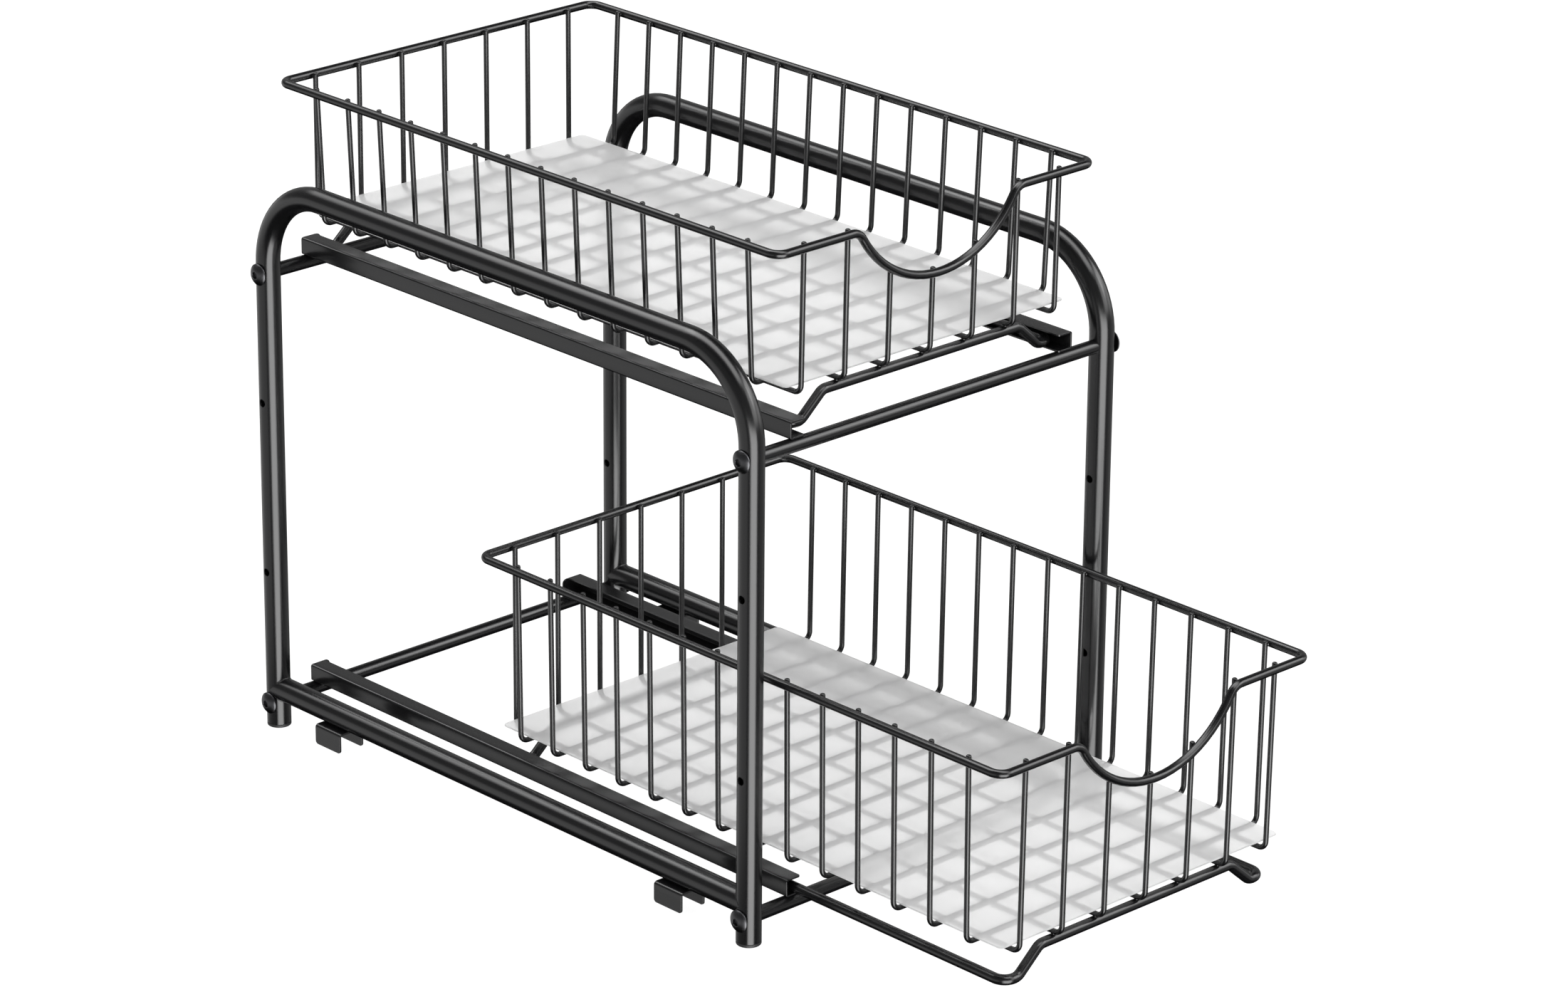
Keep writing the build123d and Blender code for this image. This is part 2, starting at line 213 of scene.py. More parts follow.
class OrganizerStudio(PropertyGroup):
    lens: length("Lens", 134.48, "Focal length of the camera")
    sensor: length("Sensor", 36.0, "Width of the camera's sensor")
    azimuth: turn("Camera azimuth", -43.60, "Direction of the camera round the organizer, from the front")
    elevation: turn("Camera elevation", 21.19, "How far the camera looks down")
    roll: turn("Camera roll", 0.51, "Turn of the picture")
    place: FloatVectorProperty(name="Camera place", default=(-2.07411, -2.18120, 1.35733), size=3,
                               subtype="TRANSLATION", unit="LENGTH", description="Where the camera stands")
    floor_radius: number("Floor radius", 30.0, "Radius of the round floor", unit="LENGTH")
    floor_glow: number("Floor glow", 0.95, "Strength of the light that comes up through the floor", min=0.0)
    ambient: number("Soft light", 1.62, "Strength of the soft light from all round", min=0.0)


# Points, paths and grids

class Box:
    """The box of a CAD node at rest: its lowest and highest corner, its middle and its half size."""

    def __init__(self, node):
        self.low, self.high = (np.array(corner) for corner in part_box(node))
        self.centre, self.half = (self.low + self.high) / 2, (self.high - self.low) / 2


def unit(vectors):
    """Vectors of length one."""
    return vectors / np.linalg.norm(vectors, axis=-1, keepdims=True)


def xyz(x, y, z):
    """Points from coordinates that are numbers or arrays."""
    return np.stack(np.broadcast_arrays(x, y, z), axis=-1)


def full_turn(steps):
    """Angles round a circle."""
    return np.linspace(0.0, 2 * math.pi, steps, endpoint=False)


def quarter_turn(steps):
    """Angles from none to a quarter turn."""
    return np.linspace(0.0, math.pi / 2, steps + 1)


def bent_path(corners, bend_radii, closed=False):
    """Points and tangents of straight runs joined by arcs. Where the path turns by an angle A, the
    arc of radius r starts r tan(A/2) before the corner, and its point after a turn t is the start
    plus r sin t along the run plus r (1 - cos t) to the inner side."""
    corners = np.array(corners, float)
    ahead = unit(np.roll(corners, -1, axis=0) - corners)
    points = [] if closed else [corners[:1]]
    tangents = [] if closed else [ahead[:1]]
    for index, radius in enumerate(bend_radii, 0 if closed else 1):
        into, out = ahead[index - 1], ahead[index]
        bend = math.acos(float(np.clip(into @ out, -1.0, 1.0)))
        inwards = unit(out - into * (into @ out))
        start = corners[index] - into * radius * math.tan(bend / 2)
        t = np.linspace(0.0, bend, max(2, math.ceil(bend / BEND_STEP)) + 1)[:, None]
        points.append(start + radius * (np.sin(t) * into + (1 - np.cos(t)) * inwards))
        tangents.append(np.cos(t) * into + np.sin(t) * inwards)
    if not closed:
        points.append(corners[-1:])
        tangents.append(ahead[-2:-1])
    points, tangents = np.concatenate(points), np.concatenate(tangents)
    # Where two arcs meet, the point is there twice
    apart = np.linalg.norm(points - np.roll(points, 1, axis=0), axis=1) > SHORTEST_STEP
    return points[apart], tangents[apart]


def rings(points, tangents, across, radii, sides):
    """Circles round a path. With the side direction square to the path and to the across direction,
    the point at angle a is the path's point plus r (cos a side + sin a other)."""
    tangents = np.broadcast_to(tangents, points.shape)
    side = unit(np.cross(tangents, across))
    other = np.cross(side, tangents)
    angle = full_turn(sides)[:, None]
    round_side = np.cos(angle) * side[:, None] + np.sin(angle) * other[:, None]
    return points[:, None] + np.reshape(radii, (-1, 1, 1)) * round_side


def border(grid):
    """What lies round the border of a grid, in order."""
    return np.concatenate((grid[0, :-1], grid[:-1, -1], grid[-1, :0:-1], grid[:0:-1, 0]))


def grid_faces(rows, columns, wrap_rows=False, wrap_columns=True, first=0):
    """Quads of a grid of rows x columns of points, numbered row by row from first."""
    row = np.arange(rows if wrap_rows else rows - 1)[:, None]
    column = np.arange(columns if wrap_columns else columns - 1)[None, :]
    next_row, next_column = (row + 1) % rows, (column + 1) % columns
    corners = (row * columns + column, next_row * columns + column,
               next_row * columns + next_column, row * columns + next_column)
    return first + np.stack(corners, axis=-1).reshape(-1, 4)


def closed_grid(grid):
    """A grid that wraps both ways, as a mesh part."""
    return grid.reshape(-1, 3), [grid_faces(*grid.shape[:2], wrap_rows=True)]


def capped_grid(grid):
    """A grid of rings whose first and last ring are closed by a fan round a pole."""
    rows, columns = grid.shape[:2]
    poles = np.stack((grid[0].mean(axis=0), grid[-1].mean(axis=0)))
    column = np.arange(columns)
    following = (column + 1) % columns
    last = (rows - 1) * columns
    pole = np.full(columns, rows * columns)
    fans = (np.stack((pole, column, following), axis=-1),
            np.stack((pole + 1, last + following, last + column), axis=-1))
    return np.concatenate((grid.reshape(-1, 3), poles)), [grid_faces(rows, columns), *fans]


def rod(corners, bend_radii, radius, across, end_edge=0.0, closed=False, sides=WIRE_SIDES):
    """Round wire along a bent path. Near an open end the radius is r - e (1 - cos q) at e (1 - sin q)
    before the end, for an edge rounding e and q from 0 to a quarter turn."""
    points, tangents = bent_path(corners, bend_radii, closed)
    if closed:
        return closed_grid(rings(points, tangents, across, radius, sides))
    q = quarter_turn(ROUNDING_STEPS)
    before = (end_edge * (1 - np.sin(q)))[:, None]
    narrow = radius - end_edge * (1 - np.cos(q))
    radii = np.concatenate((narrow[::-1], np.full(len(points) - 2, radius), narrow))
    points = np.concatenate(((points[0] + before * tangents[0])[::-1], points[1:-1],
                             points[-1] - before * tangents[-1]))
    tangents = np.pad(tangents, ((ROUNDING_STEPS,) * 2, (0, 0)), "edge")
    return capped_grid(rings(points, tangents, across, radii, sides))


def rounded_corners(start, end, start_radius, end_radius, steps):
    """Places along a sheet from start to end, and how far its sides step back there to round its
    corners: c - sqrt(c^2 - (c - d)^2) at the distance d from an end whose corner radius is c."""
    distances, sets_back = [], []
    for radius in (start_radius, end_radius):
        d = radius * (1 - np.cos(quarter_turn(steps)))
        distances.append(d)
        sets_back.append(radius - np.sqrt(np.maximum(radius ** 2 - (radius - d) ** 2, 0.0)))
    return (np.concatenate((start + distances[0], (end - distances[1])[::-1])),
            np.concatenate((sets_back[0], sets_back[1][::-1])))


def sheet(layer, front, back, chamfer):
    """A sheet with broken edges. layer(offset, inset) is its grid of points at an offset across the
    sheet, set in from its border. Strips join the borders of the two faces, which are set in by the
    chamfer, and the two border loops between them, which lie the chamfer's depth inside the faces."""
    depth = math.copysign(chamfer, back - front)
    face = layer(front, chamfer)
    rows, columns = face.shape[:2]
    grids = [face.reshape(-1, 3), border(layer(front + depth, 0.0)), border(layer(back - depth, 0.0)),
             layer(back, chamfer).reshape(-1, 3)]
    firsts = np.cumsum([0] + [len(grid) for grid in grids[:-1]])
    loop = border(np.arange(rows * columns).reshape(rows, columns))
    loops = [loop, *(np.arange(len(loop)) + first for first in firsts[1:-1]), loop + firsts[-1]]
    strips = [np.stack((a, b, np.roll(b, -1), np.roll(a, -1)), axis=-1) for a, b in zip(loops, loops[1:])]
    return np.concatenate(grids), [grid_faces(rows, columns, wrap_columns=False)[:, ::-1],
                                   grid_faces(rows, columns, wrap_columns=False, first=firsts[-1]), *strips]


def piece(name, parts, nodes, material, body=None):
    """One finished object from mesh parts of (points, [faces]). Points that fall together are merged,
    faces are turned outwards, and it rides on the body of the CAD nodes that it replaces."""
    points, faces, first = [], [], 0
    for part_points, part_faces in parts:
        points.append(part_points)
        faces += [row for block in part_faces for row in (block + first).tolist()]
        first += len(part_points)
    mesh = bpy.data.meshes.new(name)
    mesh.from_pydata(np.concatenate(points).tolist(), [], faces)
    work = bmesh.new()
    work.from_mesh(mesh)
    bmesh.ops.delete(work, geom=[v for v in work.verts if not v.link_faces], context="VERTS")
    bmesh.ops.remove_doubles(work, verts=work.verts, dist=SAME_POINT)
    bmesh.ops.recalc_face_normals(work, faces=work.faces)
    work.to_mesh(mesh)
    work.free()
    mesh.polygons.foreach_set("use_smooth", np.ones(len(mesh.polygons), bool))
    mesh.set_sharp_from_angle(angle=SHARP_ANGLE)
    mesh.materials.append(material())
    made = bpy.data.objects.new(name, mesh)
    bpy.context.scene.collection.objects.link(made)
    if nodes:
        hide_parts(*nodes)
    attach(made, body or frame["nodes"][nodes[0]]["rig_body"])
    return made


def steel(name, parts, nodes, body=None):
    """A piece of powder-coated steel."""
    return piece(name, parts, nodes, satin_powder_coated_steel, body)


# Materials

def add(tree, kind, settings=None, **inputs):
    """One node with its settings, and its inputs set to values or linked to other nodes' outputs."""
    node = tree.nodes.new(kind)
    for key, value in (settings or {}).items():
        setattr(node, key, value)
    for key, value in inputs.items():
        numbered = key[0] == "i" and key[1:].isdigit()
        socket = node.inputs[int(key[1:]) if numbered else key.replace("_", " ")]
        if isinstance(value, bpy.types.NodeSocket):
            tree.links.new(value, socket)
        else:
            socket.default_value = value
    return node


def procedural(name):
    """Turns a function that adds nodes to a tree, and returns the last shader, into one that gives
    the material of this name and makes it when it is first asked for."""
    def wrap(shade):
        def material():
            made = bpy.data.materials.get(name)
            if not made:
                made = bpy.data.materials.new(name)
                made.use_nodes = True
                tree = made.node_tree
                tree.nodes.clear()
                shader = shade(tree, bpy.context.scene.organizer_colours)
                add(tree, "ShaderNodeOutputMaterial", Surface=shader.outputs[0])
            return made
        return material
    return wrap


@procedural("satin_black_powder_coated_steel")
def satin_powder_coated_steel(tree, colours):
    """Polyester powder, sprayed and baked: an even satin black skin with a faint orange peel."""
    place = add(tree, "ShaderNodeTexCoord").outputs["Object"]
    # Orange peel has swells about 2 mm wide; the grain of the powder, really 0.1 mm, is drawn at 0.5 mm
    swell = add(tree, "ShaderNodeTexNoise", Vector=place, Scale=1 / (2.0 * MM), Detail=1.0).outputs[0]
    grain = add(tree, "ShaderNodeTexNoise", Vector=place, Scale=1 / (0.5 * MM), Detail=2.0).outputs[0]
    tint = add(tree, "ShaderNodeMix", {"data_type": "RGBA"}, i0=grain, i6=colours.coating,
               i7=colours.coating_light).outputs[2]
    rough = add(tree, "ShaderNodeMapRange", Value=grain, To_Min=0.19, To_Max=0.27).outputs[0]
    peel = add(tree, "ShaderNodeBump", Height=swell, Strength=0.25, Distance=0.02 * MM).outputs[0]
    skin = add(tree, "ShaderNodeBump", Height=grain, Strength=0.2, Distance=0.01 * MM,
               Normal=peel).outputs[0]
    return add(tree, "ShaderNodeBsdfPrincipled", Base_Color=tint, Roughness=rough, IOR=1.5, Normal=skin)


@procedural("black_oxide_forged_screw_steel")
def blackened_screw_steel(tree, colours):
    """Forged steel with a black oxide: dark metal whose edges catch a thin bright line."""
    place = add(tree, "ShaderNodeTexCoord").outputs["Object"]
    # The crystals of the oxide are far below 0.1 mm; they are drawn 0.3 mm wide
    grain = add(tree, "ShaderNodeTexNoise", Vector=place, Scale=1 / (0.3 * MM), Detail=3.0).outputs[0]
    rough = add(tree, "ShaderNodeMapRange", Value=grain, To_Min=0.3, To_Max=0.45).outputs[0]
    skin = add(tree, "ShaderNodeBump", Height=grain, Strength=0.3, Distance=0.01 * MM).outputs[0]
    return add(tree, "ShaderNodeBsdfPrincipled", Base_Color=colours.screw, Metallic=1.0, Roughness=rough,
               Normal=skin)


@procedural("moulded_black_polyethylene")
def moulded_black_plastic(tree, colours):
    """Injection-moulded polyethylene: soft black with the fine matt of an eroded mould."""
    place = add(tree, "ShaderNodeTexCoord").outputs["Object"]
    # Spark-eroded texture about 0.3 mm wide
    pits = add(tree, "ShaderNodeTexNoise", Vector=place, Scale=1 / (0.3 * MM), Detail=2.0).outputs[0]
    skin = add(tree, "ShaderNodeBump", Height=pits, Strength=0.5, Distance=0.02 * MM).outputs[0]
    return add(tree, "ShaderNodeBsdfPrincipled", Base_Color=colours.cap, Roughness=0.56, IOR=1.51,
               Normal=skin)


@procedural("frosted_polypropylene_sheet")
def frosted_polypropylene(tree, colours):
    """Extruded polypropylene sheet with an embossed frost: milky, and it blurs what lies below it."""
    place = add(tree, "ShaderNodeTexCoord").outputs["Object"]
    # The embossed frost has pits about 0.4 mm wide
    frost = add(tree, "ShaderNodeTexNoise", Vector=place, Scale=1 / (0.4 * MM), Detail=2.0).outputs[0]
    skin = add(tree, "ShaderNodeBump", Height=frost, Strength=0.3, Distance=0.01 * MM).outputs[0]
    surface = add(tree, "ShaderNodeBsdfPrincipled", Base_Color=colours.liner, Roughness=0.38, IOR=1.49,
                  Normal=skin)
    # Some light scatters through the sheet and some passes nearly straight: both layers of wires show
    # as soft grey lines, and what lies deeper blurs to an even grey. A low index keeps the blur small
    scattered = add(tree, "ShaderNodeBsdfTranslucent", Color=colours.liner)
    straight = add(tree, "ShaderNodeBsdfRefraction", Color=colours.liner, Roughness=0.37, IOR=1.08)
    through = add(tree, "ShaderNodeMixShader", i0=0.75, i1=scattered.outputs[0], i2=straight.outputs[0])
    return add(tree, "ShaderNodeMixShader", i0=0.75, i1=surface.outputs[0], i2=through.outputs[0])


@procedural("matt_white_backlit_acrylic")
def backlit_floor_acrylic(tree, colours):
    """Matt white acrylic lit from below: no gloss, and its glow takes the shadows out of the floor."""
    matt = add(tree, "ShaderNodeBsdfDiffuse", Color=colours.floor)
    glow = add(tree, "ShaderNodeEmission", Strength=bpy.context.scene.organizer_studio.floor_glow)
    return add(tree, "ShaderNodeAddShader", i0=matt.outputs[0], i1=glow.outputs[0])


# Shapes of the frame

def leg_frame(side):
    """Middle x of a side frame, its front and back leg y, and the bottom and top z of its hoop."""
    box, radius = Box(f"{side}_hoop_tube"), bpy.context.scene.organizer_frame.tube / 2
    return box.centre[0], box.low[1] + radius, box.high[1] - radius, box.low[2], box.high[2] - radius


def crossbar_height(tier):
    """Height of the middle of a tier's crossbars."""
    return Box(f"{tier}_front_crossbar").centre[2]


def hoop(side):
    """Bent tube with an outer and an inner skin: rings along the path up, over and down. Round each
    spare hole the grid's square rings pass into circles: the ring m steps from the middle is mixed
    from a square of half width m and a circle of the hole's radius plus m - 3 steps."""
    sizes = bpy.context.scene.organizer_frame
    x, front_y, back_y, bottom, top = leg_frame(side)
    outside, inside, edge = sizes.tube / 2, sizes.tube / 2 - sizes.tube_wall, sizes.edge
    low_bar, high_bar = crossbar_height("lower"), crossbar_height("upper")
    holes = [low_bar + part * (high_bar - low_bar)
             for part in (sizes.low_hole_share, sizes.high_hole_share)]
    step = 2 * math.pi * outside / TUBE_SIDES
    offsets = np.arange(-HOLE_REACH, HOLE_REACH + 1)
    leg = xyz(x, front_y, np.concatenate(([bottom + edge], *(z + offsets * step for z in holes))))
    corners = [(x, front_y, bottom), (x, front_y, top), (x, back_y, top), (x, back_y, bottom)]
    bends, along = bent_path(corners, [sizes.hoop_bend] * 2)
    points = np.concatenate((leg, bends[1:-1], leg[::-1] * (1, 0, 1) + (0, back_y, 0)))
    tangents = np.pad(along, ((len(leg) - 1,) * 2, (0, 0)), "edge")
    skins = [rings(points, tangents, X_AXIS, radius, TUBE_SIDES) for radius in (outside, inside)]

    keep = np.ones((len(points) - 1, TUBE_SIDES), bool)
    walls = []
    ring_number = np.maximum(*np.abs(np.meshgrid(offsets, offsets)))[..., None]
    share = np.clip((ring_number - HOLE_RING) / (HOLE_REACH - HOLE_RING), 0.0, 1.0)
    circle_radius = sizes.spare_hole / 2 + edge + (ring_number - HOLE_RING) * step
    cut = np.arange(-HOLE_RING, HOLE_RING)
    for leg_y in (front_y, back_y):
        for index, height in enumerate(holes):
            row = 1 + HOLE_REACH + index * len(offsets)
            row = row if leg_y == front_y else len(points) - 1 - row
            for sign, column in ((1, TUBE_SIDES // 4), (-1, 3 * TUBE_SIDES // 4)):
                block = np.ix_(row + offsets, (column + offsets) % TUBE_SIDES)
                for skin, radius in zip(skins, (outside, inside)):
                    square = skin[block][..., 1:] - (leg_y, height)
                    flat = (1 - share) * circle_radius * unit(square) + share * square
                    depth = np.sqrt(radius ** 2 - flat[..., 0] ** 2)
                    skin[block] = xyz(x + sign * depth, leg_y + flat[..., 0], height + flat[..., 1])
                keep[np.ix_(row + cut, (column + cut) % TUBE_SIDES)] = False
                walls.append(hole_wall(skins[0][block], (x, leg_y, height), sign))
    faces = grid_faces(len(points), TUBE_SIDES).reshape(len(points) - 1, TUBE_SIDES, 4)[keep]
    t = quarter_turn(ROUNDING_STEPS)
    lip_radii = np.concatenate((outside - edge * (1 - np.cos(t)), inside + edge * (1 - np.cos(t[::-1]))))
    lip_heights = bottom + edge * (1 - np.sin(np.concatenate((t, t[::-1]))))
    lips = [rings(xyz(x, leg_y, lip_heights), direction * Z_AXIS, X_AXIS, lip_radii, TUBE_SIDES)
            for leg_y, direction in ((front_y, 1), (back_y, -1))]
    return [*((skin.reshape(-1, 3), [faces]) for skin in skins), *walls,
            *((lip.reshape(-1, 3), [grid_faces(*lip.shape[:2])]) for lip in lips)]


def hole_wall(block, centre, sign):
    """The wall of a hole drilled along X through a tube: a circle whose radius is the hole's plus
    e (1 - sin t) at the depth e (1 - cos t) below the tube's skin, rounded so at both skins."""
    sizes = bpy.context.scene.organizer_frame
    inner = slice(HOLE_REACH - HOLE_RING, HOLE_REACH + HOLE_RING + 1)
    loop = border(block[inner, inner]) - centre
    angle = np.arctan2(loop[:, 2], loop[:, 1])
    t = quarter_turn(ROUNDING_STEPS - 1)
    widths = sizes.spare_hole / 2 + sizes.edge * (1 - np.sin(t))
    depths = sizes.edge * (1 - np.cos(t))
    widths = np.concatenate((widths, widths[::-1]))[:, None]
    depths = np.concatenate((depths, sizes.tube_wall - depths[::-1]))[:, None]
    y = widths * np.cos(angle)
    grid = centre + xyz(sign * np.sqrt((sizes.tube / 2 - depths) ** 2 - y ** 2), y, widths * np.sin(angle))
    return grid.reshape(-1, 3), [grid_faces(*grid.shape[:2])]


def seat_radius():
    """Distance from the middle of a leg at which other pieces sit on it."""
    sizes = bpy.context.scene.organizer_frame
    return sizes.tube / 2 + sizes.seat_gap


def saddle(radius, angle):
    """Distance from the middle of a leg to the end of a bar that is coped to fit it, at the angle a
    round the bar: sqrt(R^2 - (r cos a)^2) for the seat's radius R and the bar's radius r."""
    return np.sqrt(seat_radius() ** 2 - (radius * np.cos(angle)) ** 2)


def saddle_tube(axis, centre, start, end, radius, wall=0.0):
    """Bar, or tube if it has a wall, between two legs, with saddles at its ends."""
    across, angle = X_AXIS if axis is Y_AXIS else Y_AXIS, full_turn(TUBE_SIDES)

    def row(r, sign):
        along = (start if sign < 0 else end) - sign * saddle(r, angle)
        flat = centre + r * (np.cos(angle)[:, None] * across + np.sin(angle)[:, None] * Z_AXIS)
        return flat * (1 - axis) + along[:, None] * axis

    if wall:
        inner = radius - wall
        return closed_grid(np.stack([row(radius, -1), row(radius, 1), row(inner, 1), row(inner, -1)]))
    widths = np.linspace(radius / BAR_END_RINGS, radius, BAR_END_RINGS)
    return capped_grid(np.stack([row(r, -1) for r in widths] + [row(r, 1) for r in widths[::-1]]))


def saddle_bead(centre, leg_y, sign):
    """Weld bead round the saddle at the end of a base tube. Its middle runs along the saddle, and its
    radius b (0.25 + 0.75 sin^2 a) dies out at the sides, with ripples of a twelfth."""
    sizes = bpy.context.scene.organizer_frame
    radius, angle = sizes.tube / 2, full_turn(2 * TUBE_SIDES)
    points = xyz(centre[0] + radius * np.cos(angle), leg_y - sign * saddle(radius, angle),
                 centre[2] + radius * np.sin(angle))
    tangents = unit(np.roll(points, -1, axis=0) - np.roll(points, 1, axis=0))
    ripples = round(2 * math.pi * radius / BEAD_RIPPLE)
    radii = sizes.bead * (0.25 + 0.75 * np.sin(angle) ** 2) * (1 + np.cos(ripples * angle) / 12)
    return closed_grid(rings(points, tangents, Y_AXIS, radii, BEAD_SIDES))


def folded_sheet(origin, flange_axis, web_axis, web, flange, thickness, bend, corners, start, end):
    """Channel folded from sheet, carried along Y. Its section is a web with a flange at each end. The
    corners are the radii of the flanges' corners at the start and at the end."""
    fold, half = bend + thickness / 2, web / 2 - thickness / 2
    # Half of the section, from the flange's edge to the fold, with the share of the flange's reach
    # and the normal of each point; the other half mirrors it beyond the middle of the web
    t = np.concatenate((np.zeros(FLANGE_POINTS), quarter_turn(ROUNDING_STEPS)[1:]))
    share = np.concatenate((np.linspace(1.0, 0.0, FLANGE_POINTS), np.zeros(ROUNDING_STEPS)))
    one = xyz(fold * (1 - np.sin(t)), half - fold * (1 - np.cos(t)), share)
    section = np.concatenate((one, [(0.0, 0.0, 0.0)], one[::-1] * (1, -1, 1)))
    normal = np.stack((-np.sin(t), np.cos(t)), axis=-1)
    normal_u, normal_v = np.concatenate((normal, [(-1.0, 0.0)], normal[::-1] * (1, -1))).T
    u, v, share = section.T

    def layer(offset, inset):
        y, back = rounded_corners(start + inset, end - inset, *(corner - inset for corner in corners),
                                  SHEET_CORNER_STEPS)
        reach = flange - thickness / 2 - inset - fold - back
        along_u = u + share * reach[:, None] + offset * normal_u
        along_v = v + offset * normal_v
        return (origin + along_u[..., None] * flange_axis + along_v[:, None] * web_axis
                + y[:, None, None] * Y_AXIS)

    return sheet(layer, thickness / 2, -thickness / 2, bpy.context.scene.organizer_frame.sheet_edge)


def stop_plate(origin, along, height, width, thickness, corner):
    """Upright plate from a fold at the origin, with its two far corners rounded. Its front face lies
    a thickness before the origin."""
    ahead = np.cross(along, Z_AXIS)
    ahead = -ahead if ahead[1] > 0 else ahead

    def layer(depth, inset):
        z, back = rounded_corners(inset - height / 2, height / 2 - inset, *[corner - inset] * 2,
                                  SHEET_CORNER_STEPS)
        u = np.linspace(0.0, 1.0, STOP_POINTS) * (width - inset - back)[:, None]
        return origin + u[..., None] * along + z[:, None, None] * Z_AXIS + depth * ahead

    return sheet(layer, 0.0, thickness, bpy.context.scene.organizer_frame.sheet_edge)


def nuggets(centres, half_size):
    """Flattened balls, one at each centre: the point at the angles (a, b) is the half size times
    (sin b cos a, sin b sin a, cos b). They are small and many, so each has few faces."""
    a, b = full_turn(NUGGET_SIDES), np.linspace(0.0, math.pi, NUGGET_RINGS + 2)[1:-1, None]
    points, faces = capped_grid(xyz(np.sin(b) * np.cos(a), np.sin(b) * np.sin(a), np.cos(b)))
    points[-2:] = ((0, 0, 1), (0, 0, -1))
    shift = (np.arange(len(centres)) * len(points))[:, None, None]
    return ((centres[:, None] + points * half_size).reshape(-1, 3),
            [(face + shift).reshape(-1, face.shape[1]) for face in faces])


def button_head_screw(seat, sign):
    """Screw along X whose head's seat is at the given point. The dome's height over the seat at the
    radius r is sqrt(D^2 - r^2) - (D - H); the rows pass from the hex socket, whose radius at the
    angle a is half its size over cos of a's distance from the nearest flat, to the round edge."""
    sizes, fillet = bpy.context.scene.organizer_frame, SCREW_FILLET
    head, height, edge, shank = sizes.head / 2, sizes.head_height, sizes.head_edge, sizes.shank / 2
    rise = height - edge
    dome_radius = (head ** 2 + rise ** 2) / (2 * rise)
    # A number of points that six divides, so that each corner of the hexagon is one of them
    angle = full_turn(TUBE_SIDES - TUBE_SIDES % 6)
    hexagon = sizes.socket / 2 / np.cos((angle + math.pi / 6) % (math.pi / 3) - math.pi / 6)

    def dome(r):
        return np.sqrt(dome_radius ** 2 - r ** 2) - (dome_radius - height)

    # Rows of (radius, distance from the seat): socket, dome, edge, seat and shank
    floor, tip = height - sizes.socket_depth, -(sizes.tube + SCREW_GRIP)
    first_ring, last_ring = hexagon + 1.5 * fillet, head - fillet
    rows = [(0.3 * hexagon, floor - SOCKET_CONE), (hexagon, floor), (hexagon, dome(hexagon) - 1.5 * fillet),
            (hexagon + 0.5 * fillet, dome(hexagon) - 0.4 * fillet)]
    for share in np.linspace(0.0, 1.0, DOME_RINGS):
        ring = (1 - share) * first_ring + share * last_ring
        rows.append((ring, dome(ring)))
    t = quarter_turn(ROUNDING_STEPS - 1)[1:]
    rows += zip(last_ring + fillet * np.sin(t), edge - 0.2 * fillet * (1 - np.cos(t)))
    rows += [(head, fillet), (last_ring, 0.0), (1.2 * shank, 0.0), (shank, -0.2 * shank),
             (shank, tip + SCREW_TIP), (shank - SCREW_TIP, tip)]
    grid = [xyz(sign * x, r * np.cos(angle), r * np.sin(angle)) for r, x in rows]
    return capped_grid(seat + np.stack(grid))


# Shapes of the baskets

def basket_places(tier):
    """Where a basket's pieces lie, read from the boxes of its CAD nodes: its middle, half widths, and
    the heights of the wires' middles."""
    sizes = bpy.context.scene.organizer_basket
    rim, runner, long, cross, liner = (Box(f"{tier}_{node}") for node in (
        "rim", "runner", "long_wires", "cross_wire_01", "liner"))
    rim_radius, wire_radius, runner_radius = sizes.rim / 2, sizes.wire / 2, sizes.runner / 2
    return SimpleNamespace(
        x=rim.centre[0], y=rim.centre[1],
        rim_x=rim.half[0] - rim_radius, rim_y=rim.half[1] - rim_radius, rim_z=rim.high[2] - rim_radius,
        runner_x=runner.half[0] - runner_radius, runner_y=runner.half[1] - runner_radius,
        runner_low=runner.low[2] + runner_radius, runner_high=runner.high[2] - runner_radius,
        long_z=long.low[2] + wire_radius, cross_z=cross.low[2] + wire_radius,
        wire_x=cross.half[0] - wire_radius, wire_y=long.half[1] - wire_radius,
        floor_x=liner.half[0] + sizes.wire_bend,
        long_x=np.linspace(-1, 1, sizes.long_wires) * (long.half[0] - wire_radius),
        cross_y=np.array([Box(f"{tier}_cross_wire_{i + 1:02d}").centre[1] for i in range(CROSS_WIRES)]))


def scoop_arcs():
    """Radii of the scoop and of the crests beside it, and the turn of a crest."""
    sizes = bpy.context.scene.organizer_basket
    big, crest = sizes.scoop_radius, sizes.scoop_crest
    return big, crest, math.acos((big - sizes.scoop_depth + crest) / (big + crest))


def rim_drop(x):
    """How far the front of the rim dips at x: crest arc near the rim's level, scoop arc further in."""
    big, crest, bend = scoop_arcs()
    half_width, distance = (big + crest) * math.sin(bend), abs(x)
    if distance >= half_width:
        return 0.0
    if distance > big * math.sin(bend):
        return crest - math.sqrt(crest ** 2 - (half_width - distance) ** 2)
    return math.sqrt(big ** 2 - distance ** 2) - (big - bpy.context.scene.organizer_basket.scoop_depth)


def rim_rod(at):
    """Closed loop with rounded corners and the scoop in its front. The scoop's corners are where the
    level rim would meet the tangent that a crest and the scoop share, and where the tangents meet."""
    sizes, (big, crest, bend) = bpy.context.scene.organizer_basket, scoop_arcs()
    x, y, corner = at.rim_x, at.rim_y, sizes.rim_corner
    scoop_x = big * math.sin(bend) + crest * math.cos(bend) * math.tan(bend / 2)
    corners = [(x, y, 0), (-x, y, 0), (-x, -y, 0), (-scoop_x, -y, 0), (0, -y, -scoop_x * math.tan(bend)),
               (scoop_x, -y, 0), (x, -y, 0)]
    return rod(np.array(corners) + (at.x, at.y, at.rim_z), [corner] * 3 + [crest, big, crest, corner],
               sizes.rim / 2, Z_AXIS, closed=True)


